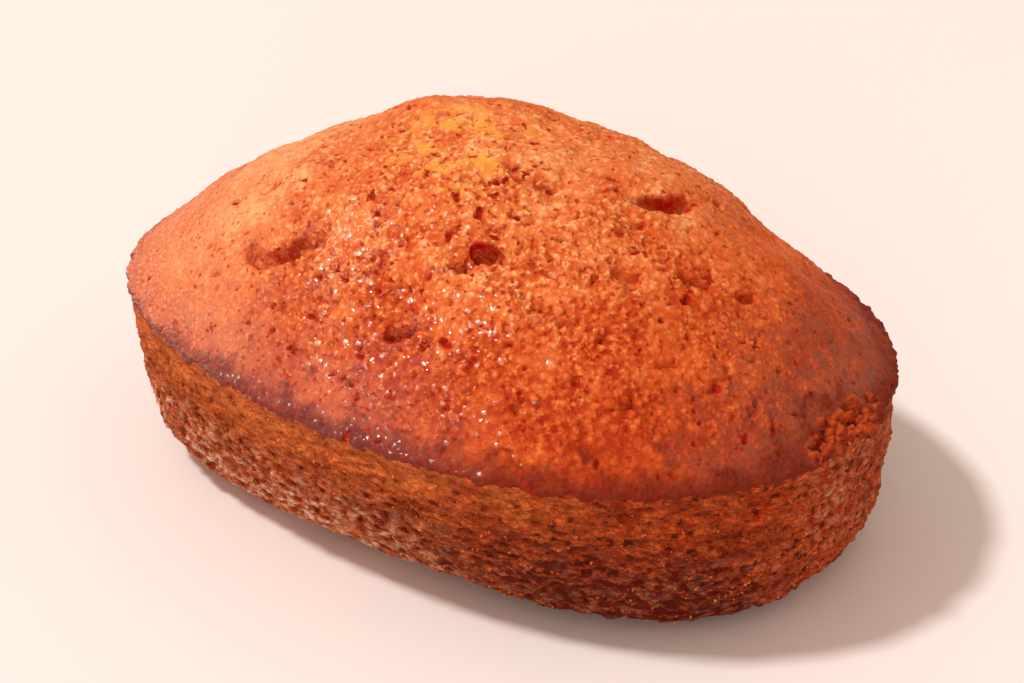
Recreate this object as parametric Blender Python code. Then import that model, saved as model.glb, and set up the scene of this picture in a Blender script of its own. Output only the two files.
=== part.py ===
"""Financier: one small oval almond cake, baked in a shallow tin and turned out whole.

The cake stands on its flat base in the XY plane, with its long axis along +X and the origin under
the middle of its box. Lengths are in metres and +Z is up.
"""
import math
from collections import namedtuple

import bmesh
import bpy
from mathutils import Vector, noise

MM = 0.001
NODE_NAME = "cake"
COLLECTION_NAME = "financier"

# Driving dimensions: the box of the whole cake.
LENGTH = 80 * MM
WIDTH = 55 * MM
HEIGHT = 38.5 * MM

# Side: what the tin shaped, from the base up to the seam under the crust.
RIM_HEIGHT = 18.4 * MM
RIM_FULLNESS = 2.1
BASE_FULLNESS = 2.5
END_TAPER = 5.2 * MM
SIDE_TAPER = 4.6 * MM
WALL_CURVE = 2.0
CORNER_RADIUS = 4.7 * MM

# Crust: what rose above the tin. The crown lies off the middle.
DOME_RISE = 18.4 * MM
DOME_ROUNDNESS = 2.3
DOME_FULLNESS = 1.05
CROWN_X = -3.0 * MM
CROWN_Y = -3.6 * MM

# Humps where the batter burst up through the crust: a broad one, and a cap on its shoulder.
Hump = namedtuple("Hump", "x y rise radius")
HUMPS = (
    Hump(0.0 * MM, 11.0 * MM, 2.1 * MM, 18.7 * MM),
    Hump(-7.5 * MM, 6.0 * MM, 0.8 * MM, 8.0 * MM),
)

# No two cakes leave the tin alike: slow swells of the outline, as waves round it, share, degrees.
Swell = namedtuple("Swell", "waves share lag")
RIM_SWELLS = (
    Swell(1, 0.019, -105),
    Swell(2, 0.010, -177),
    Swell(3, 0.020, -149),
    Swell(4, 0.008, 78),
)
BASE_SWELLS = (
    Swell(1, 0.025, 77),
    Swell(2, 0.031, -35),
    Swell(3, 0.030, -43),
    Swell(4, 0.032, 113),
)

# Seam: a thin lip where the crust overhangs the side, with a groove under it.
LIP_RISE = 0.35 * MM
LIP_WIDTH = 0.8 * MM
GROOVE_DEPTH = 0.25 * MM
GROOVE_DROP = 1.8 * MM

# Relief of the crust and of the side.
LUMP_RISE = 0.5 * MM
LUMP_SIZE = 6.0 * MM
KNOB_RISE = 0.35 * MM
KNOB_SIZE = 2.6 * MM
PORE_DEPTH = 0.55 * MM
PORE_SPACING = 4.2 * MM
PORE_RADIUS = 1.3 * MM
CRUMB_RISE = 0.35 * MM
CRUMB_LENGTH = 3.4 * MM
CRUMB_HEIGHT = 1.7 * MM
RELIEF_STARTS = 3.0 * MM

# Cracks and burst bubbles of the crust, each a bent gash with its lower edge pushed up.
# Centre x, y, reach, half width, depth and bend are in millimetres, heading in degrees.
Gash = namedtuple("Gash", "x y heading reach width depth bend")
GASHES = (
    Gash(-15.6, -16.9, 4, 3.6, 1.0, 1.3, 0.5),
    Gash(-12.9, -15.6, 30, 2.0, 0.9, 0.7, 0.0),
    Gash(-19.1, -16.0, 60, 1.1, 0.9, 0.6, 0.0),
    Gash(5.1, -13.9, 20, 1.6, 1.3, 1.3, 0.0),
    Gash(3.7, -15.7, 35, 1.1, 1.0, 0.6, 0.0),
    Gash(6.0, -5.6, 8, 4.0, 0.9, 0.9, 1.4),
    Gash(-4.0, -2.4, 70, 1.6, 0.9, 0.7, 0.0),
    Gash(15.2, 1.4, 52, 3.0, 1.4, 1.6, 0.8),
    Gash(10.6, 0.5, 18, 3.2, 0.9, 0.7, 0.3),
    Gash(15.0, -3.6, -12, 1.9, 0.9, 0.6, 0.2),
    Gash(17.4, -9.2, 10, 1.5, 0.9, 0.7, 0.2),
    Gash(22.2, -4.3, 35, 1.7, 1.0, 0.8, 0.2),
    Gash(26.0, -1.5, 50, 1.4, 1.0, 0.8, 0.0),
    Gash(-4.1, -16.9, 75, 1.4, 1.0, 0.7, 0.0),
    Gash(0.2, -21.3, 15, 1.3, 1.0, 0.7, 0.0),
    Gash(-12.5, 12.5, 150, 3.6, 1.0, 1.1, 0.6),
    Gash(3.0, 18.8, 12, 3.2, 1.0, 1.2, -0.7),
    Gash(16.5, 20.0, -25, 1.7, 1.0, 0.8, 0.3),
    Gash(-23.5, 7.5, 60, 1.7, 1.0, 0.8, 0.2),
)
GASH_LIP_SHARE = 0.35
GASH_LIP_OFFSET = 1.7

# Mesh: places round the cake, and rings down each of its zones from the crown to the base.
SEGMENTS = 112
ZONES = (("dome", 35), ("wall", 10), ("corner", 4), ("base", 2))
RINGS = sum(count for _, count in ZONES)

CRUST_COLOUR = (0.60, 0.22, 0.07, 1.0)
CRUST_ROUGHNESS = 0.5


def mix(start, end, share):
    """Blend two numbers or points."""
    return start + (end - start) * share


def smooth_step(share):
    """Ease from 0 to 1, flat at both ends."""
    share = min(max(share, 0.0), 1.0)
    return share * share * (3 - 2 * share)


def outline(turn, half_length, half_width, fullness, swells):
    """Return the point at one angle of a superellipse that slow waves make uneven."""
    across = math.cos(turn)
    along = math.sin(turn)
    x = half_length * math.copysign(abs(across) ** (2 / fullness), across)
    y = half_width * math.copysign(abs(along) ** (2 / fullness), along)
    size = 1 + sum(s.share * math.cos(s.waves * turn - math.radians(s.lag)) for s in swells)
    return Vector((x, y, 0)) * size


def rim_point(turn):
    """Return the widest outline, at the seam between side and crust."""
    return outline(turn, LENGTH / 2, WIDTH / 2, RIM_FULLNESS, RIM_SWELLS)


def hump_rise(point, hump):
    """Return how far a hump lifts the crust at a point: flat on top, with a soft edge."""
    reach = math.hypot(point.x - hump.x, point.y - hump.y) / hump.radius
    return hump.rise * math.exp(-reach ** 4)


def dome_point(turn, place):
    """Return a point of the crust, from the crown at 0 to the rim at 1."""
    crown = Vector((CROWN_X, CROWN_Y, 0))
    point = mix(crown, rim_point(turn), place)
    rise = (1 - place ** DOME_ROUNDNESS) ** DOME_FULLNESS if place < 1 else 0.0
    point.z = RIM_HEIGHT + DOME_RISE * rise + sum(hump_rise(point, hump) for hump in HUMPS)
    return point


def side_point(turn, height):
    """Return a point of the tapered side at a height above the base."""
    base_length = LENGTH / 2 - END_TAPER
    base_width = WIDTH / 2 - SIDE_TAPER
    base = outline(turn, base_length, base_width, BASE_FULLNESS, BASE_SWELLS)
    share = max(0.0, 1 - height / RIM_HEIGHT) ** WALL_CURVE
    point = mix(rim_point(turn), base, share)
    point.z = height
    return point


def wall_point(turn, place):
    """Return a point of the side, from the rim at 0 to the top of the bottom corner at 1."""
    return side_point(turn, mix(RIM_HEIGHT, CORNER_RADIUS, place))


def corner_point(turn, place):
    """Return a point of the rounded bottom corner, from the side at 0 to the base at 1."""
    swing = place * math.pi / 2
    point = side_point(turn, CORNER_RADIUS * (1 - math.sin(swing)))
    reach = math.hypot(point.x, point.y)
    inset = 1 - CORNER_RADIUS * (1 - math.cos(swing)) / reach
    return Vector((point.x * inset, point.y * inset, point.z))


def base_point(turn, place):
    """Return a point of the flat base, from its edge at 0 to its middle at 1."""
    return corner_point(turn, 1) * (1 - place)


ZONE_POINTS = {"dome": dome_point, "wall": wall_point, "corner": corner_point, "base": base_point}


def form_point(turn, ring):
    """Return the point of the smooth cake at an angle, on a ring counted from the crown."""
    for zone, count in ZONES:
        if ring <= count:
            return ZONE_POINTS[zone](turn, ring / count)
        ring -= count
    return Vector((0, 0, 0))


def gash_depth(point, gash):
    """Return how far a gash sinks the crust at a point, with a raised lip along its lower edge."""
    heading = math.radians(gash.heading)
    east = point.x / MM - gash.x
    north = point.y / MM - gash.y
    along = east * math.cos(heading) + north * math.sin(heading)
    across = north * math.cos(heading) - east * math.sin(heading)
    along /= gash.reach
    across = (across - gash.bend * along ** 2) / gash.width
    ends = math.exp(-along ** 4)
    lip = GASH_LIP_SHARE * math.exp(-(across + GASH_LIP_OFFSET) ** 2)
    return gash.depth * MM * ends * (math.exp(-across ** 2) - lip)


def pore_depth(point):
    """Return the depth of the shallow round pores that are spread evenly over the crust."""
    distances, _ = noise.voronoi(point / PORE_SPACING)
    reach = distances[0] * PORE_SPACING / PORE_RADIUS
    return PORE_DEPTH * math.exp(-reach ** 2)


def crust_relief(point):
    """Return the height of the lumps, pores and gashes of the crust."""
    lumps = LUMP_RISE * noise.noise(point / LUMP_SIZE)
    knobs = KNOB_RISE * noise.noise(point / KNOB_SIZE)
    gashes = sum(gash_depth(point, gash) for gash in GASHES)
    return lumps + knobs - pore_depth(point) - gashes


def side_relief(point):
    """Return the height of the level streaks of crumb on the side, which fade out at the base."""
    streak = Vector((point.x / CRUMB_LENGTH, point.y / CRUMB_LENGTH, point.z / CRUMB_HEIGHT))
    return CRUMB_RISE * noise.noise(streak) * smooth_step(point.z / RELIEF_STARTS)


def seam_relief(height):
    """Return the lip at the rim and the groove under it."""
    lip = LIP_RISE * math.exp(-((height - RIM_HEIGHT) / LIP_WIDTH) ** 2)
    groove = GROOVE_DEPTH * math.exp(-((height - RIM_HEIGHT + GROOVE_DROP) / LIP_WIDTH) ** 2)
    return lip - groove


def relief(point):
    """Return how far the real surface stands out from the smooth form at a point."""
    crust_share = smooth_step((point.z - RIM_HEIGHT) / LIP_WIDTH)
    surface = mix(side_relief(point), crust_relief(point), crust_share)
    return surface + seam_relief(point.z)


def shape_sphere(mesh):
    """Move the points of a unit sphere, ring by ring, onto the smooth form of the cake."""
    for vertex in mesh.verts:
        ring = round(RINGS * math.acos(max(-1.0, min(1.0, vertex.co.z))) / math.pi)
        turn = math.atan2(vertex.co.y, vertex.co.x)
        vertex.co = form_point(turn, ring)


def add_relief(mesh):
    """Push the surface in and out along its normals, leaving the base flat."""
    mesh.normal_update()
    moves = {v: v.normal * relief(v.co) for v in mesh.verts if v.co.z > 0}
    for vertex, move in moves.items():
        vertex.co += move


def fit_to_box(mesh):
    """Bring the box to the driving dimensions, centred over the origin and standing on z = 0."""
    low = Vector([min(v.co[axis] for v in mesh.verts) for axis in range(3)])
    high = Vector([max(v.co[axis] for v in mesh.verts) for axis in range(3)])
    middle = Vector(((low.x + high.x) / 2, (low.y + high.y) / 2, low.z))
    size = high - low
    bmesh.ops.translate(mesh, verts=mesh.verts, vec=-middle)
    scale = Vector((LENGTH / size.x, WIDTH / size.y, HEIGHT / size.z))
    bmesh.ops.scale(mesh, verts=mesh.verts, vec=scale)


def make_material():
    """Return the plain baked brown of the crust."""
    material = bpy.data.materials.new("baked_crust")
    material.use_nodes = True
    shader = material.node_tree.nodes["Principled BSDF"]
    shader.inputs["Base Color"].default_value = CRUST_COLOUR
    shader.inputs["Roughness"].default_value = CRUST_ROUGHNESS
    shader.inputs["Metallic"].default_value = 0.0
    return material


def make_cake():
    """Return the whole cake as one closed solid."""
    shape = bmesh.new()
    bmesh.ops.create_uvsphere(shape, u_segments=SEGMENTS, v_segments=RINGS, radius=1.0)
    shape_sphere(shape)
    add_relief(shape)
    fit_to_box(shape)
    bmesh.ops.recalc_face_normals(shape, faces=shape.faces)
    mesh = bpy.data.meshes.new(NODE_NAME)
    shape.to_mesh(mesh)
    shape.free()
    mesh.shade_smooth()
    mesh.materials.append(make_material())
    return bpy.data.objects.new(NODE_NAME, mesh)


def clear_scene():
    """Remove every object that the file opened with."""
    for thing in list(bpy.data.objects):
        bpy.data.objects.remove(thing, do_unlink=True)


def main():
    clear_scene()
    collection = bpy.data.collections.new(COLLECTION_NAME)
    bpy.context.scene.collection.children.link(collection)
    collection.objects.link(make_cake())


main()
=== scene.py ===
import math

import bmesh
import bpy
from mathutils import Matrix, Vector
from mathutils.bvhtree import BVHTree


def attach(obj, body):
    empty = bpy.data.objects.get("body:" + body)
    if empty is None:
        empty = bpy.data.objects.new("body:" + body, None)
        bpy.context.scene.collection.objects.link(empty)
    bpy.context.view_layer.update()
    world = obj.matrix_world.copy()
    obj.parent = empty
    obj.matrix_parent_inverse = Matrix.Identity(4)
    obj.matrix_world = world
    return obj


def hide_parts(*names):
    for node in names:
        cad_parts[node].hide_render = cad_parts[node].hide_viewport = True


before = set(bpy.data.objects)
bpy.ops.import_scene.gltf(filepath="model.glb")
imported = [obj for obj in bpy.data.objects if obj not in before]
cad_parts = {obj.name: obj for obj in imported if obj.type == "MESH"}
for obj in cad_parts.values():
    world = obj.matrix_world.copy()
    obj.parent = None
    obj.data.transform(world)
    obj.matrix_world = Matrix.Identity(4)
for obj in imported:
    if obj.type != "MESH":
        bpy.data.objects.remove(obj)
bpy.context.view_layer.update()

bl_info = {
    "name": "Financier cake",
    "version": (1, 0, 0),
    "blender": (4, 5, 0),
    "location": "View3D > Sidebar > Financier",
    "description": "Dresses the packed financier cake with its baked crust, mould side and loose crumbs",
    "category": "Object",
}

MM = 0.001
MATH = "ShaderNodeMath"
VECTOR = "ShaderNodeVectorMath"
FADE = "ShaderNodeMapRange"
NOISE = "ShaderNodeTexNoise"
CELLS = "ShaderNodeTexVoronoi"
BLEND = "ShaderNodeMix"
LENGTH = {"unit": "LENGTH", "subtype": "DISTANCE", "precision": 5}

# Height of the crust's lip above the table, in millimetres.
RIM = 18.1

# Edge of the even mesh that the relief is grown on, and the most triangles that a piece keeps of it.
VOXEL = 0.22 * MM
MOST_TRIANGLES = 196000

# How far the side runs on behind the crust, above the rim.
BEHIND_CRUST = 1.4 * MM

# The larger of a place and this is the same place, but never under the table.
LOWEST = (-1.0, -1.0, 0.0)

# A full turn in radians, to two decimals.
FULL_TURN = 6.28

# Cracks and deep holes in the top crust. Each row is its half width and depth, and then the points
# along it, seen from above. All are millimetres. The last four are round the side that the
# photograph doesn't show.
CRACKS = (
    (0.85, 1.60, ((13.9, 1.3), (15.2, 1.8), (16.3, 2.5), (17.1, 4.0), (17.2, 5.8))),
    (0.40, 0.60, ((8.5, -0.2), (10.1, 0.3), (11.8, 0.9), (13.9, 1.3))),
    (0.50, 0.80, ((2.6, -2.8), (3.5, -4.5), (5.7, -5.4), (8.0, -4.3), (9.4, -1.9))),
    (0.70, 1.60, ((-19.2, -14.6), (-18.0, -15.6), (-16.2, -16.0), (-14.2, -15.5), (-12.4, -14.4))),
    (0.40, 0.60, ((-13.3, -15.1), (-11.9, -14.2), (-10.7, -13.6))),
    (0.70, 1.90, ((5.1, -13.0), (6.0, -12.6))),
    (0.45, 1.00, ((3.9, -15.0), (4.6, -14.4))),
    (0.50, 0.90, ((0.0, -20.8), (1.4, -20.4))),
    (0.45, 0.70, ((-3.7, -15.6), (-3.3, -16.8))),
    (0.40, 0.60, ((14.9, -3.6), (16.3, -2.4))),
    (0.45, 0.75, ((17.2, -8.9), (18.7, -8.1))),
    (0.50, 0.75, ((21.9, -4.2), (23.8, -2.8))),
    (0.45, 0.75, ((26.2, -1.5), (27.1, -0.3))),
    (0.40, 0.60, ((24.2, -13.5), (25.6, -12.3))),
    (0.35, 0.55, ((-9.4, -17.9), (-9.0, -18.7))),
    (0.80, 1.20, ((-8.6, 11.0), (-11.0, 12.9), (-14.4, 14.2))),
    (0.80, 1.30, ((1.0, 18.8), (3.9, 19.2), (6.8, 19.8))),
    (0.60, 0.80, ((16.0, 20.9), (18.8, 19.6))),
    (0.60, 0.80, ((-23.4, 6.4), (-21.8, 9.2))),
)
ROUND_HOLE_POINTS = 2


def linear(code):
    """A colour's sRGB hex value as the linear numbers that a shader takes."""
    shares = [int(code[place:place + 2], 16) / 255 for place in (0, 2, 4)]
    return tuple(s / 12.92 if s <= 0.04045 else ((s + 0.055) / 1.055) ** 2.4 for s in shares)


def colour(name, description, code):
    """A colour setting that a user can change."""
    return bpy.props.FloatVectorProperty(
        name=name, description=description, default=linear(code), subtype="COLOR", min=0.0, max=1.0
    )


def number(name, description, value, **options):
    """A number that a user can change."""
    return bpy.props.FloatProperty(name=name, description=description, default=value, **options)


def length(name, description, millimetres):
    """A length that a user can change."""
    return number(name, description, millimetres * MM, **LENGTH)


def angle(name, description, degrees):
    """An angle that a user can change."""
    return number(name, description, math.radians(degrees), subtype="ANGLE")


class CrustSettings(bpy.types.PropertyGroup):
    """Sizes and colours of the top crust."""

    rim_height: length("Rim height", "Height of the crust's lip above the table", RIM)
    grain_size: length("Grain size", "Distance between the rounded grains of the crust", 0.8)
    grain_height: length("Grain height", "How far the grains stand up where the crust is roughest", 0.15)
    swell_size: length("Swell size", "Distance between the low swells of the crust", 3.2)
    swell_height: length("Swell height", "How far the swells rise and fall", 0.28)
    pit_spacing: length("Pit spacing", "Distance between the larger burst bubbles", 1.5)
    pit_depth: length("Pit depth", "Depth of the larger burst bubbles", 0.55)
    pore_spacing: length("Pore spacing", "Distance between the fine pores", 0.75)
    pore_depth: length("Pore depth", "Depth of the fine pores", 0.22)
    lip_height: length("Lip height", "How far the beaded lip stands out at the rim", 0.2)
    lap: length("Lap", "How far the crust laps over the top of the side", 1.0)
    honey: colour("Honey", "The hardly browned patches on the crown", "F0A83E")
    golden: colour("Golden", "The palest crust", "FAB474")
    peach: colour("Peach", "The dusty paler end", "D67A56")
    orange: colour("Orange", "The crust's main colour", "E87E42")
    russet: colour("Russet", "The deeper crust of the lower slopes", "D0561E")
    ember: colour("Ember", "The deepest crust, between the grains", "AC340E")
    brown: colour("Brown", "The dull brown crust at the end that baked longest", "86523E")
    caramel: colour("Caramel", "The caramelised band above the rim", "6E1A08")
    plum: colour("Plum", "The band where it is darkest, at the front left", "6A2628")
    haze: colour("Haze", "The dull rose tinge over the band", "BC6656")
    pit: colour("Pit", "The crumb seen inside pits", "A61E02")
    deep: colour("Deep", "The crumb inside cracks and deep holes", "B80000")
    torn: colour("Torn", "The crumb laid bare where the rim is torn", "BE4A1C")
    cream: colour("Cream", "The tops of the grains", "F8B27C")
    sugar: colour("Sugar", "The grains of sugar that stayed pale", "FFDCB8")


class SideSettings(bpy.types.PropertyGroup):
    """Sizes and colours of the side that lay against the mould."""

    crumb_size: length("Crumb size", "Distance between the crumbs of the side", 1.1)
    crumb_height: length("Crumb height", "How far the crumbs stand out of the side", 0.27)
    streak_length: length("Streak length", "Length of the level streaks in the side", 2.5)
    streak_depth: length("Streak depth", "Depth of the level streaks in the side", 0.28)
    amber: colour("Amber", "The side just under the rim", "EE7C3C")
    chestnut: colour("Chestnut", "The side's main colour", "CA4E1C")
    cedar: colour("Cedar", "The redder side at the end that baked longest", "D23C08")
    umber: colour("Umber", "The hollows and the darkest patches of the side", "601808")
    dust: colour("Dust", "The pale dusty patches low on the side", "EEC09E")


class CrumbSettings(bpy.types.PropertyGroup):
    """Size, number and colour of the crumbs that cling to the cake."""

    crumb_radius: length("Crumb radius", "Mean radius of a clinging crumb", 0.14)
    crumb_density: number("Crumb density", "Clinging crumbs on a square metre of the side", 700000.0)
    toast: colour("Toast", "The palest crumbs", "C4602C")


class StageSettings(bpy.types.PropertyGroup):
    """Camera, lights and floor."""

    azimuth: angle("Camera azimuth", "Turn of the camera round the cake", 30.0)
    elevation: angle("Camera elevation", "Height of the camera above the level", 31.0)
    distance: length("Camera distance", "From the camera to what it looks at", 308.1)
    target: bpy.props.FloatVectorProperty(
        name="Camera target", description="The point that the camera looks at",
        default=(1.04 * MM, 0.0, 15.32 * MM), subtype="TRANSLATION", precision=5)
    lens: number("Focal length", "Of the camera's lens, in millimetres", 110.0, unit="CAMERA")
    key_power: number("Key power", "Power of the lamp that casts the shadow", 25.5, unit="POWER")
    fill_power: number("Fill power", "Power of the wide low lamp that lights the side", 7.5, unit="POWER")
    sky_strength: number("Sky strength", "Strength of the soft light from all round", 0.62)
    sky: colour("Sky", "Colour of the soft light", "FFEADB")
    floor: colour("Floor", "Colour of the pale floor", "F6EAE4")


class Net:
    """A node tree, with a short way to add each kind of node that comes often."""

    def __init__(self, tree):
        self.tree = tree

    def feed(self, node, feeds):
        """Sets a node's inputs. Each feed is a value, a socket, or a node, for its first live output."""
        for key, value in feeds.items():
            if isinstance(value, bpy.types.Node):
                value = next(output for output in value.outputs if output.enabled)
            if isinstance(value, bpy.types.NodeSocket):
                self.tree.links.new(value, node.inputs[key])
            elif node.inputs[key].type == "RGBA":
                node.inputs[key].default_value = (*value, 1.0)
            else:
                node.inputs[key].default_value = value

    def add(self, kind, feeds=None, **settings):
        """Adds a node with its settings and its inputs."""
        node = self.tree.nodes.new(kind)
        for name, value in settings.items():
            setattr(node, name, value)
        self.feed(node, feeds or {})
        return node

    def math(self, operation, *values, clamp=False):
        """One step of arithmetic."""
        return self.add(MATH, dict(enumerate(values)), operation=operation, use_clamp=clamp)

    def chain(self, operation, values, clamp=False):
        """The same step from each value to the next, from the left. Only the last step is clamped."""
        made = values[0]
        for value in values[1:]:
            made = self.math(operation, made, value)
        made.use_clamp = clamp
        return made

    def plus(self, *values, clamp=False):
        """The sum of some values."""
        return self.chain("ADD", values, clamp)

    def times(self, *values, clamp=False):
        """The product of some values."""
        return self.chain("MULTIPLY", values, clamp)

    def most(self, *values):
        """The largest of some values."""
        return self.chain("MAXIMUM", values)

    def times_plus(self, first, second, third, clamp=False):
        """The product of two values, and a third on top."""
        return self.math("MULTIPLY_ADD", first, second, third, clamp=clamp)

    def bell(self, off, steepness):
        """1 where a value is 0, and less the further it is from 0."""
        return self.math("EXPONENT", self.times(off, off, -steepness))

    def fade(self, value, low, high, first=0.0, last=1.0, smooth=False):
        """Goes from the first number to the last as a value goes from low to high, and no further."""
        return self.add(FADE, {0: value, 1: low, 2: high, 3: first, 4: last},
                        interpolation_type="SMOOTHSTEP" if smooth else "LINEAR")

    def between(self, share, first, last):
        """Goes from the first number to the last as a share goes from 0 to 1."""
        return self.fade(share, 0.0, 1.0, first, last)

    def vector(self, operation, *values, scale=None):
        """One step of arithmetic on vectors."""
        feeds = dict(enumerate(values))
        if scale is not None:
            feeds["Scale"] = scale
        return self.add(VECTOR, feeds, operation=operation)

    def distance(self, place, point, weights=(1.0, 1.0, 1.0)):
        """How far a place lies from a point, with a weight for each direction."""
        off = self.vector("SUBTRACT", place, point)
        weighed = self.vector("MULTIPLY", off, weights)
        return self.vector("LENGTH", weighed).outputs["Value"]

    def split(self, vector):
        """A vector's three numbers."""
        return self.add("ShaderNodeSeparateXYZ", {0: vector}).outputs

    def noise(self, place, scale, detail, roughness=0.5):
        """Soft noise from 0 to 1."""
        return self.add(NOISE, {0: place, "Scale": scale, "Detail": detail, "Roughness": roughness})

    def blur(self, value, steps, weight=1.0):
        """Evens a vector out over the mesh."""
        return self.add("GeometryNodeBlurAttribute", {0: value, 1: steps, 2: weight},
                        data_type="FLOAT_VECTOR")

    def random(self, lowest, highest, seed):
        """A random vector for each point."""
        made = self.add("FunctionNodeRandomValue", {0: lowest, 1: highest, "Seed": seed},
                        data_type="FLOAT_VECTOR")
        return made.outputs[0]

    def shake(self, place, scale, detail, reach):
        """A random step away from each place."""
        noise = self.noise(place, scale, detail)
        even = self.vector("ADD", noise.outputs["Color"], (-0.5, -0.5, -0.5))
        return self.vector("SCALE", even, scale=reach)

    def blend(self, share, first, second):
        """Goes from the first colour to the second as a share goes from 0 to 1."""
        return self.add(BLEND, {0: share, 6: first, 7: second}, data_type="RGBA").outputs[2]

    def store(self, made, values, data_type="FLOAT"):
        """Writes values on a mesh's points, for its material to read."""
        for label, value in values.items():
            made = self.add("GeometryNodeStoreNamedAttribute", {0: made, "Name": label, "Value": value},
                            data_type=data_type, domain="POINT")
        return made

    def read(self, *labels):
        """What a geometry tree wrote on the points."""
        return [self.add("ShaderNodeAttribute", attribute_name=label).outputs["Fac"] for label in labels]


def start_tree(name, sizes, others):
    """Opens a geometry tree with its named inputs, and returns its net and its input node's sockets."""
    tree = bpy.data.node_groups.new(name, "GeometryNodeTree")
    tree.interface.new_socket("Geometry", in_out="OUTPUT", socket_type="NodeSocketGeometry")
    inputs = {"Geometry": "Geometry", **dict.fromkeys(sizes, "Float"), **others, "Material": "Material"}
    for label, kind in inputs.items():
        tree.interface.new_socket(label, in_out="INPUT", socket_type=f"NodeSocket{kind}")
    net = Net(tree)
    return net, net.add("NodeGroupInput").outputs


def end_tree(net, made, size):
    """Closes a geometry tree, with no instances left in it and its material set."""
    real = net.add("GeometryNodeRealizeInstances", {0: made})
    rounded = net.add("GeometryNodeSetShadeSmooth", {0: real})
    dressed = net.add("GeometryNodeSetMaterial", {0: rounded, "Material": size["Material"]})
    net.add("NodeGroupOutput", {0: dressed})
    return net.tree


def keep_result(piece):
    """Makes what the piece's modifiers give its plain mesh."""
    bpy.context.view_layer.update()
    graph = bpy.context.evaluated_depsgraph_get()
    mesh = bpy.data.meshes.new_from_object(
        piece.evaluated_get(graph), preserve_all_data_layers=True, depsgraph=graph
    )
    piece.modifiers.clear()
    piece.data = mesh
    mesh.name = piece.name


def grow(piece, tree, values):
    """Runs a geometry tree on a piece, with its inputs set first."""
    modifier = piece.modifiers.new(tree.name, "NODES")
    modifier.node_group = tree
    for item in tree.interface.items_tree:
        if item.in_out == "INPUT" and item.name in values:
            modifier[item.identifier] = values[item.name]
    keep_result(piece)


def thin_out(piece):
    """Takes triangles out where the surface is plainest, until no more than allowed are left."""
    count = sum(len(face.vertices) - 2 for face in piece.data.polygons)
    if count > MOST_TRIANGLES:
        modifier = piece.modifiers.new("Thin out", "DECIMATE")
        modifier.ratio = MOST_TRIANGLES / count
        keep_result(piece)


def cut_cake(name, height, keep_top):
    """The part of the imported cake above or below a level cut, closed, as an even fine mesh."""
    body = bmesh.new()
    body.from_mesh(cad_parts["cake"].data)
    bmesh.ops.remove_doubles(body, verts=body.verts, dist=0.001 * MM)
    bmesh.ops.bisect_plane(
        body, geom=body.verts[:] + body.edges[:] + body.faces[:], dist=0.0001 * MM,
        plane_co=(0.0, 0.0, height), plane_no=(0.0, 0.0, 1.0),
        clear_inner=keep_top, clear_outer=not keep_top,
    )
    rim = [edge for edge in body.edges if edge.is_boundary]
    bmesh.ops.contextual_create(body, geom=rim)
    bmesh.ops.recalc_face_normals(body, faces=body.faces)
    mesh = bpy.data.meshes.new(name)
    body.to_mesh(mesh)
    body.free()
    piece = bpy.data.objects.new(name, mesh)
    bpy.context.scene.collection.objects.link(piece)
    remesh = piece.modifiers.new("Even mesh", "REMESH")
    remesh.mode = "VOXEL"
    remesh.voxel_size = VOXEL
    keep_result(piece)
    return piece


def crack_guide(solid):
    """The lines that the cracks follow, laid on the crust, with each point's half width and depth."""
    body = bmesh.new()
    body.from_mesh(solid.data)
    surface = BVHTree.FromBMesh(body)
    body.free()
    step = 0.3 * MM
    above = 60 * MM
    places, edges, halves, depths = [], [], [], []
    for half, depth, line in CRACKS:
        corners = [Vector((x * MM, y * MM, above)) for x, y in line]
        spans = [(b - a).length for a, b in zip(corners, corners[1:])]
        count = max(3, round(sum(spans) / step))
        for number in range(count + 1):
            share = number / count
            left = share * sum(spans)
            for start, stop, span in zip(corners, corners[1:], spans):
                if left <= span or stop is corners[-1]:
                    place = start.lerp(stop, left / span)
                    break
                left -= span
            hit = surface.ray_cast(place, Vector((0.0, 0.0, -1.0)))[0]
            taper = 1.0 if len(line) == ROUND_HOLE_POINTS else math.sin(math.pi * share) ** 0.6
            if number:
                edges.append((len(places) - 1, len(places)))
            places.append(hit)
            halves.append(half * MM * (0.55 + 0.45 * taper))
            depths.append(depth * MM * taper)
    mesh = bpy.data.meshes.new("crack_guide")
    mesh.from_pydata(places, edges, [])
    for label, values in (("half_width", halves), ("depth", depths)):
        mesh.attributes.new(label, "FLOAT", "POINT").data.foreach_set("value", values)
    guide = bpy.data.objects.new("crack_guide", mesh)
    bpy.context.scene.collection.objects.link(guide)
    return guide


def roughness(net, place, over_rim):
    """The crust is roughest in the middle, finer towards both ends, and calm above the rim."""
    east, north, _ = net.split(place)
    along = net.plus(east, -4 * MM)
    reach = net.math("ABSOLUTE", along)
    patch_noise = net.noise(place, 1 / (7 * MM), 2.0)
    wander = net.times_plus(patch_noise, 16 * MM, reach)
    quietest = net.fade(along, -10 * MM, 10 * MM, 0.12, 0.45)
    middle = net.fade(wander, 22 * MM, 38 * MM, 1.0, quietest, smooth=True)
    behind = net.fade(north, -7 * MM, 5 * MM, 1.0, 0.45, smooth=True)
    calm = net.fade(over_rim, 0.8 * MM, 5 * MM, 0.35, 1.0, smooth=True)
    smear_noise = net.noise(place, 1 / (5 * MM), 2.0)
    smear = net.fade(smear_noise, 0.36, 0.56, 0.45, 1.0)
    return net.times(middle, behind, calm, smear)


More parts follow.
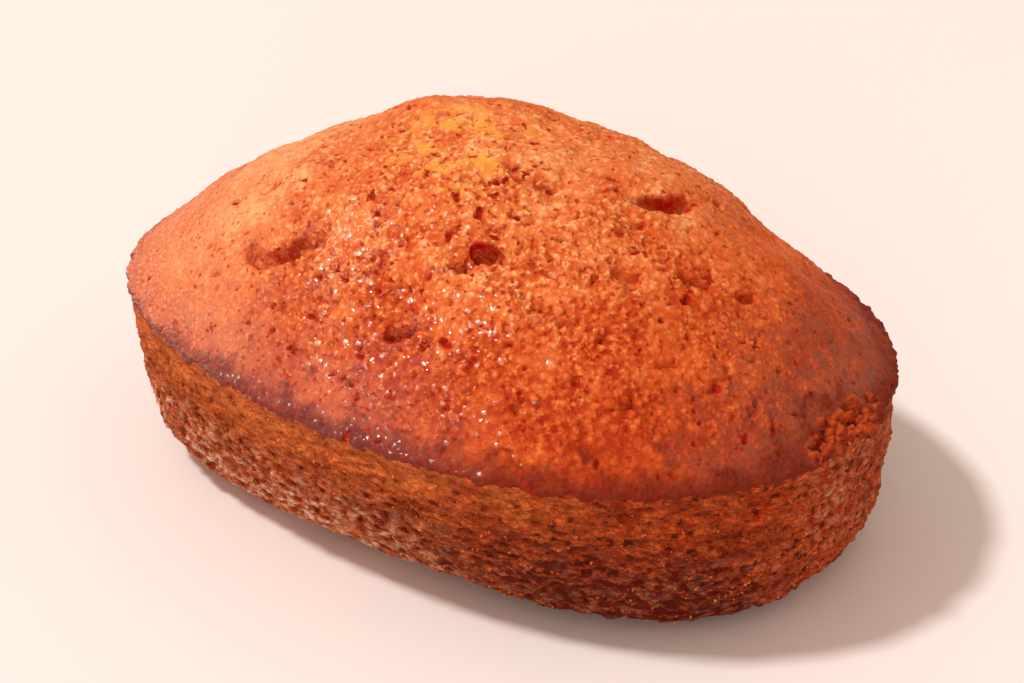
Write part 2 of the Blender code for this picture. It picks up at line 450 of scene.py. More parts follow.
def burst_bubbles(net, size, place, rough):
    """Pits and pores. They burst downhill, so they are drawn out in height."""
    drawn_out = net.vector("MULTIPLY", place, (1.0, 1.0, 0.7))
    sunk = []
    for spacing, deepest, rarest, commonest in (
        ("Pit Spacing", "Pit Depth", 0.295, 0.39), ("Pore Spacing", "Pore Depth", 0.335, 0.41)
    ):
        scale = net.math("DIVIDE", 1.0, size[spacing])
        bubbles = net.noise(drawn_out, scale, 1.0)
        mouth = net.between(rough, rarest, commonest)
        floor = net.plus(mouth, -0.1)
        bowl = net.fade(bubbles, mouth, floor, smooth=True)
        sunk.append(net.times(bowl, size[deepest]))
    return net.most(*sunk)


def nearest_crack(net, size, place, smooth):
    """How many half widths each spot lies off the nearest crack, and how deep the crack is there. Each
    crack follows its guide, which is laid on the eased crust first."""
    lines = net.add("GeometryNodeObjectInfo", {0: size["Crack Guide"]}, transform_space="ORIGINAL")
    onto = net.add("GeometryNodeProximity", {0: smooth}, target_element="FACES")
    laid = net.add("GeometryNodeSetPosition", {0: lines.outputs["Geometry"], "Position": onto})
    away = net.add("GeometryNodeProximity", {0: laid}, target_element="EDGES")
    nearest = net.add("GeometryNodeSampleNearest", {0: laid}, domain="POINT")
    read = []
    for label in ("half_width", "depth"):
        written = net.add("GeometryNodeInputNamedAttribute", {0: label}, data_type="FLOAT")
        read.append(net.add("GeometryNodeSampleIndex", {0: laid, 1: written, 2: nearest},
                            data_type="FLOAT", domain="POINT"))
    half_width, depth = read
    torn_noise = net.noise(place, 1 / (1.1 * MM), 3.0)
    torn = net.times_plus(torn_noise, 0.9 * MM, -0.45 * MM)
    ragged = net.plus(away.outputs["Distance"], torn)
    return net.math("DIVIDE", ragged, half_width), depth


def crust_tree():
    """Grains, swells, burst bubbles, cracks and the beaded lip of the top crust."""
    sizes = ("Rim Height", "Grain Size", "Grain Height", "Swell Size", "Swell Height", "Pit Spacing",
             "Pit Depth", "Pore Spacing", "Pore Depth", "Lip Height", "Lap")
    net, size = start_tree("Top crust relief", sizes, {"Crack Guide": "Object"})
    place = net.add("GeometryNodeInputPosition")
    over_rim = net.math("SUBTRACT", net.split(place)[2], size["Rim Height"])

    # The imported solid's flat faces are eased away, but for its edge at the rim.
    ease = net.fade(over_rim, 0.6 * MM, 2.4 * MM, 0.15, 1.0)
    smooth = net.add("GeometryNodeSetPosition",
                     {0: size["Geometry"], "Position": net.blur(place, 14, ease)})

    rough = roughness(net, place, over_rim)
    grain_scale = net.math("DIVIDE", 1.0, size["Grain Size"])
    grains = net.add(CELLS, {0: place, "Scale": grain_scale, "Smoothness": 0.35}, feature="SMOOTH_F1")
    grain_share = net.fade(grains.outputs["Distance"], 0.15, 0.7, 1.0, -1.0, smooth=True)
    grain_mask = net.between(rough, 0.28, 1.0)
    fine_scale = net.times(grain_scale, 2.1)
    fine_noise = net.noise(place, fine_scale, 1.0)
    fine_share = net.fade(fine_noise, 0.3, 0.7, -0.35, 0.35)
    mixed_grain = net.plus(grain_share, fine_share)
    grain_rise = net.times(mixed_grain, size["Grain Height"], grain_mask)

    swell_scale = net.math("DIVIDE", 1.0, size["Swell Size"])
    swell_noise = net.noise(place, swell_scale, 2.0)
    swell_share = net.math("SUBTRACT", swell_noise, 0.5)
    swell_mask = net.between(rough, 0.45, 2.0)
    swell_rise = net.times(swell_share, size["Swell Height"], swell_mask)

    holes = burst_bubbles(net, size, place, rough)

    # A crack has a low lip on both sides.
    off, depth = nearest_crack(net, size, place, smooth)
    crack = net.times(net.bell(off, 1.0), depth)
    lip_off = net.plus(off, -1.9)
    crack_lip = net.times(net.bell(lip_off, 2.2), depth, 0.16)

    # The lip at the rim is a fine beaded roll, and its ragged edge runs down into the side.
    bead_noise = net.noise(place, 1 / (1.0 * MM), 2.0)
    bead = net.fade(bead_noise, 0.3, 0.7, -0.2, 1.7)
    roll = net.fade(over_rim, 1.1 * MM, 0.4 * MM, smooth=True)
    rim_roll = net.times(roll, bead, size["Lip Height"])
    ragged_noise = net.noise(place, 1 / (2 * MM), 3.0)
    ragged_edge = net.fade(ragged_noise, 0.3, 0.7, -0.45 * MM, 0.45 * MM)
    lapping = net.plus(over_rim, ragged_edge)
    lap_end = net.times(size["Lap"], -0.9)
    dive = net.fade(lapping, 0.1 * MM, lap_end, 0.0, 0.7 * MM, smooth=True)

    # At the far end of the front the rim is torn, and rough crumb stands up out of it.
    from_tear = net.distance(place, (38.5 * MM, -3.4 * MM, 18.9 * MM), (0.6, 0.26, 0.9))
    tear_reach = net.times_plus(ragged_noise, -3 * MM, from_tear)
    tear = net.fade(tear_reach, 0.2 * MM, -0.3 * MM, smooth=True)
    clod_noise = net.noise(place, 1 / (1.0 * MM), 3.0, 0.6)
    clod = net.fade(clod_noise, 0.4, 0.62, -0.7 * MM, 0.4 * MM)
    torn_rise = net.times(clod, tear)

    up = net.plus(grain_rise, swell_rise, crack_lip, rim_roll, torn_rise)
    down = net.plus(holes, crack, dive)
    relief = net.math("SUBTRACT", up, down)
    facing = net.add("GeometryNodeInputNormal")
    offset = net.vector("SCALE", facing, scale=relief)
    made = net.add("GeometryNodeSetPosition", {0: smooth, "Offset": offset})
    hollow = net.math("DIVIDE", holes, MM)

    # The cleft's dark colour reaches a little past its walls, partly the crumb inside and partly painted
    # shade.
    wide_crack = net.times(net.bell(off, 0.5), depth)
    cleft = net.math("DIVIDE", wide_crack, MM)

    # The glaze lies smoother than the crumb under it.
    made = net.store(made, {"glaze": net.blur(facing, 12)}, "FLOAT_VECTOR")
    made = net.store(made, {
        "hollow": hollow, "cleft": cleft, "rough": rough,
        "grain": mixed_grain, "tear": tear, "clod": clod_noise,
    })
    return end_tree(net, made, size)


def side_tree():
    """Crumb relief and level streaks of the side, which ends hidden inside the crust."""
    sizes = ("Rim Height", "Crumb Size", "Crumb Height", "Streak Length", "Streak Depth")
    net, size = start_tree("Mould side relief", sizes, {})
    place = net.add("GeometryNodeInputPosition")
    height = net.split(place)[2]
    smooth = net.add("GeometryNodeSetPosition", {0: size["Geometry"], "Position": net.blur(place, 8)})

    crumb_scale = net.math("DIVIDE", 1.0, size["Crumb Size"])
    flattened = net.vector("MULTIPLY", place, (1.0, 1.0, 1.35))
    crumbs = net.add(CELLS, {0: flattened, "Scale": crumb_scale, "Smoothness": 0.25},
                     feature="SMOOTH_F1")
    crumb_share = net.fade(crumbs.outputs["Distance"], 0.1, 0.75, 1.0, -1.0)
    broken = net.noise(flattened, crumb_scale, 3.0, 0.65)
    broken_share = net.fade(broken, 0.25, 0.75, -1.0, 1.0)
    both = net.add(BLEND, {0: 0.7, 2: crumb_share, 3: broken_share}, data_type="FLOAT")
    crumb_rise = net.times(both, size["Crumb Height"])

    streak_scale = net.math("DIVIDE", 1.0, size["Streak Length"])
    level = net.vector("MULTIPLY", place, (1.0, 1.0, 3.6))
    streaks = net.noise(level, streak_scale, 3.0, 0.6)
    streak_share = net.fade(streaks, 0.3, 0.7, -1.0, 1.0)
    streak_rise = net.times(streak_share, size["Streak Depth"])

    # The base is nearly flat, so the relief fades out under the cake.
    upward = net.fade(height, 0.1 * MM, 1.2 * MM, 0.03, 1.0, smooth=True)
    summed = net.plus(crumb_rise, streak_rise)
    under_rim = net.math("SUBTRACT", height, size["Rim Height"])
    covered = net.fade(under_rim, -0.2 * MM, 0.1 * MM, 1.0, 0.0)
    shown = net.times(upward, covered)
    standing = net.times(summed, shown)
    hidden = net.fade(under_rim, -0.1 * MM, 0.8 * MM, 0.0, 0.8 * MM)
    relief = net.math("SUBTRACT", standing, hidden)
    facing = net.add("GeometryNodeInputNormal")
    offset = net.vector("SCALE", facing, scale=relief)
    raised = net.add("GeometryNodeSetPosition", {0: smooth, "Offset": offset})
    on_table = net.vector("MAXIMUM", place, LOWEST)
    made = net.add("GeometryNodeSetPosition", {0: raised, "Position": on_table})
    made = net.store(made, {"crumb": both, "streak": streak_share})
    return end_tree(net, made, size)


def crumb_tree():
    """Small broken crumbs that cling to the side in clumps, thickest at the foot."""
    net, size = start_tree("Clinging crumbs", ("Crumb Radius", "Crumb Density"), {"Seed": "Int"})
    place = net.add("GeometryNodeInputPosition")
    height = net.split(place)[2]
    low = net.fade(height, 3 * MM, 16.5 * MM, 1.0, 0.35)
    on_side = net.fade(height, 0.3 * MM, 0.9 * MM)
    shut = net.math("LESS_THAN", height, 16.6 * MM)
    clumps = net.noise(place, 1 / (4 * MM), 2.0)
    clumped = net.fade(clumps, 0.42, 0.62, 0.15, 1.0)
    density = net.times(low, on_side, shut, clumped, size["Crumb Density"])
    spots = net.add("GeometryNodeDistributePointsOnFaces",
                    {0: size["Geometry"], "Density": density, "Seed": size["Seed"]},
                    distribute_method="RANDOM")
    crumb = net.add("GeometryNodeMeshUVSphere",
                    {"Segments": 7, "Rings": 5, "Radius": size["Crumb Radius"]})
    turn = net.random((0.0, 0.0, 0.0), (FULL_TURN, FULL_TURN, FULL_TURN), 5)
    stretch = net.random((0.5, 0.5, 0.4), (1.5, 1.3, 1.1), 9)
    strewn = net.add("GeometryNodeInstanceOnPoints", {
        0: spots.outputs["Points"], "Instance": crumb, "Rotation": turn, "Scale": stretch
    })
    real = net.add("GeometryNodeRealizeInstances", {0: strewn})
    dent = net.shake(place, 1 / (0.25 * MM), 1.0, 0.3 * MM)
    dented = net.add("GeometryNodeSetPosition", {0: real, "Offset": dent})
    on_table = net.vector("MAXIMUM", place, LOWEST)
    made = net.add("GeometryNodeSetPosition", {0: dented, "Position": on_table})
    return end_tree(net, made, size)


def new_material(name):
    """An empty material, its net, its shader, and its place in millimetres."""
    material = bpy.data.materials.new(name)
    material.use_nodes = True
    material.node_tree.nodes.clear()
    net = Net(material.node_tree)
    shader = net.add("ShaderNodeBsdfPrincipled")
    net.add("ShaderNodeOutputMaterial", {0: shader})
    where = net.add("ShaderNodeTexCoord").outputs["Object"]
    return material, net, shader, net.vector("SCALE", where, scale=1 / MM)


def flesh(weight, depth):
    """The crumb lets a little light in, red deepest."""
    reach = (1.0, 0.35, 0.15)
    return {"Subsurface Weight": weight, "Subsurface Radius": reach, "Subsurface Scale": depth}


def bump(net, height, depth, strength=1.0, under=None):
    """Relief finer than the mesh, on top of other relief or on the bare surface."""
    feeds = {"Strength": strength, "Distance": depth, "Height": height}
    if under:
        feeds["Normal"] = under
    return net.add("ShaderNodeBump", feeds)


def ramp(net, share, stops):
    """A colour for each share from 0 to 1, through stops in order."""
    made = net.add("ShaderNodeValToRGB", {0: share})
    elements = made.color_ramp.elements
    elements[0].position = stops[0][0]
    elements[1].position = stops[-1][0]
    for position, tint in stops[1:-1]:
        elements.new(position)
    for element, (position, tint) in zip(elements, stops):
        element.color = (*tint, 1.0)
    return made.outputs["Color"]


def butter_pool(net, place, clouds):
    """Where butter has pooled, on the front left of the middle."""
    toward = net.vector("ADD", place, (-0.5, 18.0, 0.0))
    turned = net.add("ShaderNodeVectorRotate", {"Vector": toward, "Angle": math.radians(17.0)},
                     rotation_type="Z_AXIS")
    level = net.vector("MULTIPLY", turned, (0.72, 1.3, 0.0))
    from_pool = net.vector("LENGTH", level).outputs["Value"]
    wander = net.times_plus(clouds, 12.0, -6.0)
    pool_reach = net.plus(from_pool, wander)
    return net.fade(pool_reach, 13.0, 6.0, smooth=True)


def how_baked(net, place, rough, grain, bead, own_shade, clouds, mottles, pool):
    """How far each spot is baked, from 0, golden, to 1, ember. The crust is redder under the pool.
    Painted shade makes it more baked between the grains, and painted highlight makes it less baked on
    their tops.
    """
    east, north, up = net.split(place)
    cloud = net.fade(clouds, 0.3, 0.7, -0.07, 0.27)
    mottle = net.fade(mottles, 0.3, 0.7, -0.12, 0.14)
    crown = net.fade(up, 31.0, 37.5, 0.0, 0.02)
    low = net.fade(up, 33.0, 19.0, 0.0, 0.42)
    end = net.fade(east, 6.0, 34.0, 0.0, 0.32)
    start = net.fade(east, -6.0, -34.0, 0.0, -0.12)
    # Painted highlight on the middle of each fine grain and painted shade in the gap round it, with each
    # grain's own tone on top.
    bead_light_and_shade = net.between(bead, 0.24, -0.16)
    shade = net.between(own_shade, 0.08, -0.08)
    bead_shading_and_tone = net.plus(bead_light_and_shade, shade)
    # Painted shade in the low parts of the mesh's grains and painted highlight on their peaks.
    grain_light_and_shade = net.fade(grain, -1.0, 0.9, 0.3, -0.16)
    fine_share = net.between(rough, 0.35, 1.0)
    fine_shading_and_tone = net.times(bead_shading_and_tone, fine_share)
    grain_shading_and_tone = net.times_plus(grain_light_and_shade, rough, fine_shading_and_tone)
    redder = net.times(pool, 0.13)
    behind = net.fade(north, -3.0, 5.0, 0.0, 0.14)
    off_end = net.fade(east, 16.0, 6.0)
    rear = net.times(behind, off_end)
    return net.plus(cloud, mottle, crown, low, end, start, grain_shading_and_tone, redder, rear)


def height_in_band(net, place):
    """How high each spot lies in the caramelised band, where 1 is its edge. The band is widest at the
    front left and by the tear, and a line elsewhere."""
    east, _, up = net.split(place)
    wavy = net.noise(place, 1 / 2.5, 4.0, 0.65)
    above = net.plus(up, -RIM)
    first_end = net.fade(east, -33.0, -12.0, 0.5, 2.7, smooth=True)
    last_end = net.fade(east, 16.0, 34.0, 1.0, 0.85)
    plain_width = net.times(first_end, last_end)
    from_tear = net.distance(place, (35.5, -6.5, 19.0))
    by_tear = net.fade(from_tear, 9.0, 3.0, 0.0, 1.6, smooth=True)
    width = net.plus(plain_width, by_tear)
    waves = net.fade(wavy, 0.34, 0.66, 1.8, 0.4)
    wavy_height = net.times(above, waves)
    return net.math("DIVIDE", wavy_height, width)


def wet_grains(net, place, shake, likely):
    """How far each spot is from the middle of its wet grain, the round part of the grain, and how pale
    the grain's painted glint is, which is 0 where it stays out."""
    nudge = net.vector("SCALE", shake, scale=0.75)
    nudged = net.vector("ADD", place, nudge)
    drops = net.add(CELLS, {0: nudged, "Scale": 1 / 0.68}, feature="F1")
    chance, luck, fate = net.split(drops.outputs["Color"])
    size_of_drop = net.math("POWER", chance, 2.5)
    rim_of_drop = net.between(size_of_drop, -0.22, -0.6)
    within = net.plus(drops.outputs["Distance"], rim_of_drop)
    round_drop = net.fade(within, 0.0, -0.16, smooth=True)
    picked = net.math("LESS_THAN", luck, likely)
    paleness = net.between(fate, 0.2, 1.0)
    return drops.outputs["Distance"], round_drop, net.times(picked, paleness)


def baked_crust(settings):
    """Sugar and almond crust, browned in butter: dull, translucent orange-brown crumb with glossy wet
    grains in its rough middle, dark red inside its pits, and plum where it caramelised at the rim. Its
    colour also holds painted highlights and glints on the grains, painted sheen and reflection on the
    band and the ends, and painted shade between the grains and in pores and cracks."""
    material, net, shader, place = new_material("Butter-browned almond crust")
    east = net.split(place)[0]
    hollow, rough, grain = net.read("hollow", "rough", "grain")
    cleft, tear, clod = net.read("cleft", "tear", "clod")

    # Grains and pores finer than the mesh can carry, about half a millimetre apart.
    shake = net.shake(place, 1 / 0.5, 1.0, 0.5)
    shaken = net.vector("ADD", place, shake)
    cells = net.add(CELLS, {0: shaken, "Scale": 1 / 0.55}, feature="F1")
    own_shade, own_top, _ = net.split(cells.outputs["Color"])
    bead = net.fade(cells.outputs["Distance"], 0.1, 0.65, 1.0, 0.0)
    pore_noise = net.noise(place, 1 / 0.65, 1.0)
    mouth = net.between(rough, 0.335, 0.41)
    under = net.math("SUBTRACT", mouth, pore_noise)
    pore = net.fade(under, -0.03, 0.1, smooth=True)

    # Grains about 0.35 mm across, for the sugary grit, and for the pale specks of dust and of painted
    # glint.
    sugar = net.noise(place, 1 / 0.35, 2.0, 0.6)

    # Some parts are baked more than others, in wide clouds and in mottles.
    clouds = net.noise(place, 1 / 9.0, 3.0)
    mottles = net.noise(place, 1 / 1.6, 3.0, 0.6)
    pool = butter_pool(net, place, clouds)
    baked = how_baked(net, place, rough, grain, bead, own_shade, clouds, mottles, pool)
    toasted = ramp(net, baked, (
        (0.0, settings.golden), (0.3, settings.orange), (0.66, settings.russet), (1.0, settings.ember)
    ))

    # A few patches of the crown hardly browned.
    from_crown = net.distance(place, (-2.6, -3.4, 37.5))
    near_crown = net.fade(from_crown, 9.0, 3.0)
    young = net.noise(place, 1 / 2.6, 2.0)
    young_patch = net.fade(young, 0.5, 0.6, 0.0, 0.8, smooth=True)
    raw = net.times(near_crown, young_patch)
    honeyed = net.blend(raw, toasted, settings.honey)

    # The end that baked longest is dull brown: partly browner crust, partly a painted grey sheen. Painted
    # shade browns it more between the grains.
    browning = net.fade(east, 20.0, 38.0, -0.55, 0.5)
    patchy = net.fade(mottles, 0.3, 0.7, -0.12, 0.4)
    bead_gap_shade = net.between(bead, 0.1, -0.12)
    browned = net.plus(browning, patchy, bead_gap_shade, clamp=True)
    farther = net.blend(browned, honeyed, settings.brown)

    # The first end out of the tin is dusty, and paler under a painted pale sheen.
    dust_and_sheen_end = net.fade(east, -10.0, -32.0, 0.0, 0.7)
    speck = net.fade(sugar, 0.38, 0.62, 0.3, 1.35)
    dust_and_sheen = net.times(dust_and_sheen_end, speck, clamp=True)
    peach = net.blend(dust_and_sheen, farther, settings.peach)

    # The caramelised band turns plum at the front left, partly as a painted lilac reflection, with a
    # painted dull rose sheen over it.
    in_band = height_in_band(net, place)
    mixed = net.between(bead, 0.14, -0.14)
    in_grain = net.plus(in_band, mixed)
    band = net.fade(in_grain, 1.3, 0.1, 0.0, 0.88, smooth=True)
    haze = net.fade(in_band, 4.5, 1.0, 0.0, 0.5, smooth=True)
    leftward = net.fade(east, 14.0, 0.0)
    caramel = net.blend(leftward, settings.caramel, settings.plum)
    sheen_share = net.times(haze, leftward)
    sheened = net.blend(sheen_share, peach, settings.haze)
    banded = net.blend(band, sheened, caramel)
    # The pit colour is the crumb inside the mesh's pits, and painted shade in the fine pores, which the
    # mesh doesn't hollow.
    burst = net.fade(hollow, 0.03, 0.3, 0.0, 1.0)
    inside = net.times_plus(pore, 0.75, burst, clamp=True)
    pitted = net.blend(inside, banded, settings.pit)
    # Cracks and deep holes take the deep colour, partly the crumb inside and partly painted shade.
    flank = net.fade(cleft, 0.15, 0.75, 0.0, 1.0, smooth=True)
    cracked = net.blend(flank, pitted, settings.deep)
    # Where the rim is torn, the sunk parts between the clods are caramel, which is painted shade.
    clods = net.fade(clod, 0.42, 0.56)
    clods_with_gap_shade = net.blend(clods, settings.caramel, settings.torn)
    bare = net.blend(tear, cracked, clods_with_gap_shade)

    # Wet grains stand in the pool and thickest beside it, some of them with a painted glint, a pale spot
    # in the colour.
    from_thick = net.distance(place, (-8.0, -15.5, 31.0))
    thick = net.fade(from_thick, 6.0, 2.0, 0.0, 0.6)
    likely = net.times_plus(pool, 0.7, thick)
    opened = net.math("MAXIMUM", inside, flank)
    dry = net.between(opened, 1.0, 0.0)
    off_middle, round_drop, picked = wet_grains(net, place, shake, likely)
    wet_glint = net.times(picked, dry, round_drop)
    tint = net.between(pool, 0.1, 0.35)
    off_band = net.between(band, 1.0, 0.0)
    painted_glint = net.times(tint, off_band, wet_glint)
    # Painted glint: fine pale specks where the butter is thickest, and at the first end, where they are
    # partly dust and partly painted glint.
    fine_specks = net.fade(sugar, 0.52, 0.66, 0.0, 0.4)
    glint_and_dust_zone = net.times_plus(thick, 1.6, dust_and_sheen_end)
    glints_and_dust = net.times_plus(fine_specks, glint_and_dust_zone, painted_glint, clamp=True)
    # Painted highlight on the tops of the grains, where the crust is open, dry and little browned, most
    # towards the first end.
    tops = net.fade(bead, 0.55, 1.0, 0.0, 0.8)
    lit_tops = net.times(tops, own_top)
    hardly = net.fade(baked, 0.25, 0.75, 1.0, 0.3)
    light_part = net.between(browned, 1.0, 0.0)
    open_grain = net.between(rough, 0.25, 1.0)
    toward_start = net.fade(east, 22.0, 2.0, 0.3, 1.0)
    paler = net.times(lit_tops, dry, hardly, light_part, off_band, open_grain, toward_start)
    topped = net.blend(paler, bare, settings.cream)
    glinted_and_dusted = net.blend(glints_and_dust, topped, settings.sugar)

    # The band at the front left is beaded with syrup.
    syrup = net.between(round_drop, 0.06, 0.7)
    wet_band = net.times(band, leftward, syrup)
    glazed = net.math("MAXIMUM", wet_band, wet_glint)
    dull = net.between(glazed, 0.62, 0.45)

    dip = net.times_plus(pore, -0.3, bead)
    beading = bump(net, dip, 0.13 * MM, net.between(rough, 0.5, 1.0))
    grit = bump(net, sugar, 0.08 * MM, 0.6, beading)

    # Each wet grain stands as a low dome, and lies a little leveller than the crust under it.
    glaze = net.add("ShaderNodeAttribute", attribute_name="glaze").outputs["Vector"]
    level_up = net.vector("ADD", glaze, (0.0, 0.0, 0.28))
    slope = net.add("ShaderNodeVectorTransform", {0: level_up}, vector_type="NORMAL",
                    convert_from="OBJECT", convert_to="WORLD")
    dome = net.times(off_middle, off_middle, -1.0)
    dripped = bump(net, dome, 0.18 * MM, 1.0, slope)
    net.feed(shader, {
        "Base Color": glinted_and_dusted, "Roughness": dull, "IOR": 1.45, "Specular IOR Level": 0.12, "Normal": grit,
        "Coat Weight": glazed, "Coat Roughness": 0.26, "Coat IOR": 1.85, "Coat Normal": dripped,
        **flesh(weight=0.25, depth=0.6 * MM),
    })
    return material


def side_crumb(settings):
    """Fine sponge crumb that set against a buttered tin: matte and grainy, blotched chestnut and dark
    umber, with umber also as painted shade in its hollows, streaks and gaps, amber under the rim, with
    pale dust low on the front."""
    material, net, shader, place = new_material("Tin-set sponge crumb")
    east, north, up = net.split(place)
    crumb, streak = net.read("crumb", "streak")

    # Each crumb, about 0.6 mm across, has its own tone, and painted shade in the gap round it.
    level = net.vector("MULTIPLY", place, (1.0, 1.0, 1.5))
    jitter = net.shake(level, 1 / 0.45, 2.0, 0.55)
    shaken = net.vector("ADD", level, jitter)
    bits = net.add(CELLS, {0: shaken, "Scale": 1 / 0.6}, feature="F1")
    bit_shade, bit_dust, _ = net.split(bits.outputs["Color"])
    bit = net.fade(bits.outputs["Distance"], 0.2, 0.65, 1.0, 0.0)

    wide = net.noise(place, 1 / 6.0, 3.0)
    under_rim = net.fade(up, 11.5, 17.0, smooth=True)
    amber = net.times_plus(wide, 0.9, -0.35)
    own_shade = net.times_plus(bit_shade, 0.6, amber)
    away_end = net.fade(east, 4.0, 24.0, 0.6, 0.0)
    rim_share = net.times(under_rim, away_end)
    rim_amber = net.plus(rim_share, own_shade, clamp=True)
    redder = net.fade(east, 8.0, 26.0)
    main = net.blend(redder, settings.chestnut, settings.cedar)
    warm = net.blend(rim_amber, main, settings.amber)

    flat_level = net.vector("MULTIPLY", place, (1.0, 1.0, 2.4))
    blotches = net.noise(flat_level, 1 / 3.0, 4.0, 0.65)
    blotch = net.fade(blotches, 0.47, 0.6)
    calm = net.fade(rim_share, 0.0, 0.6, 1.0, 0.7)
    # Painted shade: umber in the hollows of the crumb relief, in the streaks and in the gap round each
    # crumb.
    sunk = net.fade(crumb, 0.0, -0.55, 0.0, 0.95)
    painted_streak_shade = net.fade(streak, 0.0, -0.8, 0.0, 0.8)
    painted_gap_shade = net.fade(bit, 0.4, 0.0, 0.0, 0.6)
    blotched = net.times(blotch, 0.7)
    darkest = net.most(blotched, sunk, painted_streak_shade, painted_gap_shade)
    by_foot = net.fade(up, 15.0, 7.0, 0.0, 0.5)
    from_middle = net.fade(east, -6.0, 20.0)
    off_end = net.fade(east, 38.0, 31.0)
    foot = net.times(from_middle, off_end, by_foot)
    dark = net.times_plus(darkest, calm, foot, clamp=True)
    shaded_and_mottled = net.blend(dark, warm, settings.umber)

    # Dust lies on the crumbs that stand out, low on the long sides.
    lie = net.noise(flat_level, 1 / 5.0, 3.0)
    low_down = net.fade(up, 13.5, 7.0)
    leftward = net.fade(east, 12.0, -6.0, 0.12, 1.0)
    patch = net.fade(lie, 0.36, 0.54, 0.25, 1.1)
    far_edge = net.fade(east, 37.0, 39.5, 0.0, 0.45)
    spread = net.times_plus(low_down, leftward, far_edge)
    frontward = net.fade(north, 8.0, -8.0, 0.5, 1.0)
    side_patch = net.times(frontward, patch)
    patched = net.times(spread, side_patch)
    proud = net.fade(crumb, -0.2, 0.3)
    lit_bit = net.fade(bit_dust, 0.1, 0.8, 0.25, 1.1)
    held = net.times(proud, lit_bit)
    dusty = net.times(patched, held, clamp=True)
    pale = net.blend(dusty, shaded_and_mottled, settings.dust)

    fine = net.noise(level, 1 / 0.3, 3.0, 0.7)
    grit = bump(net, fine, 0.16 * MM, 0.9, bump(net, bit, 0.22 * MM))
    net.feed(shader, {
        "Base Color": pale, "Roughness": 0.74, "IOR": 1.42, "Specular IOR Level": 0.12, "Normal": grit,
        **flesh(weight=0.06, depth=0.4 * MM),
    })
    return material


def loose_crumb(side, crumbs):
    """Broken sponge crumb: matte, and each crumb its own shade from pale toast to dark brown."""
    material, net, shader, place = new_material("Broken sponge crumb")
    shade = net.noise(place, 1 / 0.9, 1.0)
    own = ramp(net, shade, (
        (0.3, side.umber), (0.42, side.chestnut), (0.58, side.amber), (0.72, crumbs.toast)
    ))
    grit = bump(net, net.noise(place, 1 / 0.2, 2.0), 0.1 * MM, 0.8)
    net.feed(shader, {
        "Base Color": own, "Roughness": 0.75, "Specular IOR Level": 0.25, "Normal": grit,
        **flesh(weight=0.06, depth=0.4 * MM),
    })
    return material


def named_settings(settings):
    """Settings under the names that their tree's inputs have."""
    return {name.replace("_", " ").title(): getattr(settings, name) for name in settings.__annotations__}


def finish_piece(piece):
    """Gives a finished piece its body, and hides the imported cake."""
    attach(piece, "root")
    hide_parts("cake")


class FINANCIER_OT_top_crust(bpy.types.Operator):
    """Make the domed top crust, with its pits, cracks and beaded lip"""

    bl_idname = "financier.top_crust"
    bl_label = "Top crust"

    def execute(self, context):
        """Grows the crust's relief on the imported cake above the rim."""
        settings = context.scene.financier_crust
        piece = cut_cake("top_crust", settings.rim_height - settings.lap, True)
        guide = crack_guide(piece)
        grow(piece, crust_tree(), {
            **named_settings(settings),
            "Crack Guide": guide,
            "Material": baked_crust(settings),
        })
        bpy.data.objects.remove(guide)
        thin_out(piece)
        finish_piece(piece)
        return {"FINISHED"}


class FINANCIER_OT_mould_side(bpy.types.Operator):
    """Make the side and base that lay against the tin"""

    bl_idname = "financier.mould_side"
    bl_label = "Mould side"

    def execute(self, context):
        """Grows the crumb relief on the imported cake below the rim."""
        crust = context.scene.financier_crust
        settings = context.scene.financier_side
        piece = cut_cake("mould_side", crust.rim_height + BEHIND_CRUST, False)
        grow(piece, side_tree(), {
            **named_settings(settings),
            "Rim Height": crust.rim_height,
            "Material": side_crumb(settings),
        })
        thin_out(piece)
        finish_piece(piece)
        return {"FINISHED"}


class FINANCIER_OT_clinging_crumbs(bpy.types.Operator):
    """Scatter the small crumbs that cling to the side"""

    bl_idname = "financier.clinging_crumbs"
    bl_label = "Clinging crumbs"

    def execute(self, context):
        """Scatters crumbs on the finished side."""
        settings = context.scene.financier_crumbs
        side = context.scene.objects["mould_side"]
        piece = bpy.data.objects.new("clinging_crumbs", side.data.copy())
        context.scene.collection.objects.link(piece)
        grow(piece, crumb_tree(), {
            **named_settings(settings),
            "Seed": 4,
            "Material": loose_crumb(context.scene.financier_side, settings),
        })
        finish_piece(piece)
        return {"FINISHED"}


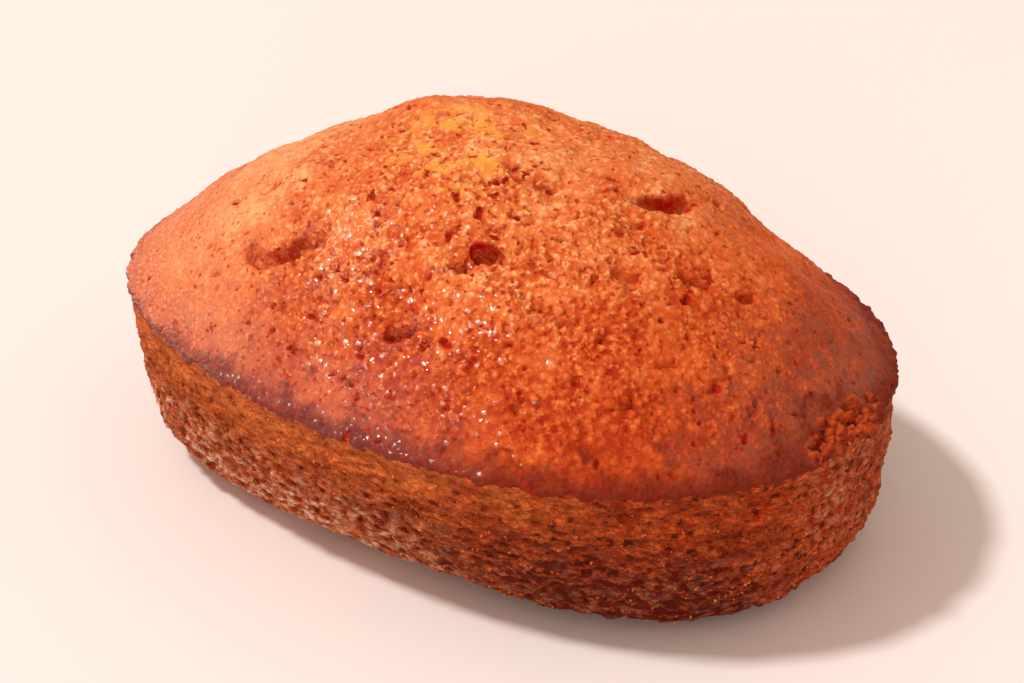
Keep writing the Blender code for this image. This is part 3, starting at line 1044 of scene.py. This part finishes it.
class FINANCIER_OT_stage(bpy.types.Operator):
    """Set the pale floor, the soft light and the camera"""

    bl_idname = "financier.stage"
    bl_label = "Stage"

    def execute(self, context):
        """Makes the floor, the lights and the camera."""
        scene = context.scene
        stage = scene.financier_stage
        scene.view_settings.view_transform = "Standard"
        self.lay_floor(scene, stage)
        self.light(scene, stage)
        back = self.direction(stage.azimuth, stage.elevation)
        lens = bpy.data.cameras.new("camera")
        lens.lens = stage.lens
        lens.sensor_width = 36.0
        lens.clip_start = 0.01
        camera = bpy.data.objects.new("camera", lens)
        camera.location = Vector(stage.target) + back * stage.distance
        camera.rotation_euler = (-back).to_track_quat("-Z", "Y").to_euler()
        scene.collection.objects.link(camera)
        scene.camera = camera
        return {"FINISHED"}

    def direction(self, azimuth, elevation):
        """The way out from the cake at a turn and a height."""
        level = math.cos(elevation)
        return Vector((math.sin(azimuth) * level, -math.cos(azimuth) * level, math.sin(elevation)))

    def lay_floor(self, scene, stage):
        """A wide pale floor of matte glazed stoneware, which keeps the light plain."""
        half = 1.5
        mesh = bpy.data.meshes.new("floor")
        corners = [(-half, -half, 0.0), (half, -half, 0.0), (half, half, 0.0), (-half, half, 0.0)]
        mesh.from_pydata(corners, [], [(0, 1, 2, 3)])
        floor = bpy.data.objects.new("floor", mesh)
        scene.collection.objects.link(floor)
        material, net, shader, _ = new_material("Matte pale stoneware")
        net.feed(shader, {"Base Color": stage.floor, "Roughness": 0.6})
        mesh.materials.append(material)

    def light(self, scene, stage):
        """One lamp high on the left, a wide low one near the camera, and soft light from all round."""
        world = bpy.data.worlds.new("soft light")
        world.use_nodes = True
        net = Net(world.node_tree)
        net.feed(net.tree.nodes["Background"], {"Color": stage.sky, "Strength": stage.sky_strength})
        scene.world = world
        self.hang(scene, "key", (-57.0, 60.0), 270 * MM, stage.key_power, (0.98, 0.99, 1.0))
        self.hang(scene, "fill", (22.0, 14.0), 1100 * MM, stage.fill_power, (1.0, 0.97, 0.95))

    def hang(self, scene, name, turn_and_height, across, power, tint):
        """Hangs a round lamp, turned towards the cake."""
        way = self.direction(*(math.radians(degrees) for degrees in turn_and_height))
        middle = Vector((0.0, 0.0, 18 * MM))
        distance = 2.0
        lamp = bpy.data.lights.new(name, "AREA")
        lamp.shape = "DISK"
        lamp.size = across
        lamp.energy = power
        lamp.color = tint
        hung = bpy.data.objects.new(name, lamp)
        hung.location = middle + way * distance
        hung.rotation_euler = way.to_track_quat("Z", "Y").to_euler()
        scene.collection.objects.link(hung)


class FINANCIER_PT_pieces(bpy.types.Panel):
    """Lists the cake's pieces and their settings"""

    bl_label = "Financier cake"
    bl_idname = "FINANCIER_PT_pieces"
    bl_space_type = "VIEW_3D"
    bl_region_type = "UI"
    bl_category = "Financier"

    def draw(self, context):
        """One button for each piece, with its settings under it."""
        rows = (
            (FINANCIER_OT_top_crust, context.scene.financier_crust),
            (FINANCIER_OT_mould_side, context.scene.financier_side),
            (FINANCIER_OT_clinging_crumbs, context.scene.financier_crumbs),
            (FINANCIER_OT_stage, context.scene.financier_stage),
        )
        for operator, settings in rows:
            self.layout.operator(operator.bl_idname)
            box = self.layout.box()
            for name in settings.__annotations__:
                box.prop(settings, name)


SETTINGS = {
    "financier_crust": CrustSettings,
    "financier_side": SideSettings,
    "financier_crumbs": CrumbSettings,
    "financier_stage": StageSettings,
}
CLASSES = (
    *SETTINGS.values(),
    FINANCIER_OT_top_crust,
    FINANCIER_OT_mould_side,
    FINANCIER_OT_clinging_crumbs,
    FINANCIER_OT_stage,
    FINANCIER_PT_pieces,
)


def register():
    """Adds the settings, the operators and the panel."""
    for made in CLASSES:
        bpy.utils.register_class(made)
    for name, group in SETTINGS.items():
        setattr(bpy.types.Scene, name, bpy.props.PointerProperty(type=group))


def unregister():
    """Takes out what register added."""
    for name in SETTINGS:
        delattr(bpy.types.Scene, name)
    for made in reversed(CLASSES):
        bpy.utils.unregister_class(made)


def main():
    """Makes every piece in order."""
    register()
    bpy.ops.financier.top_crust()
    bpy.ops.financier.mould_side()
    bpy.ops.financier.clinging_crumbs()
    bpy.ops.financier.stage()
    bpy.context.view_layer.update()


if __name__ == "__main__":
    main()
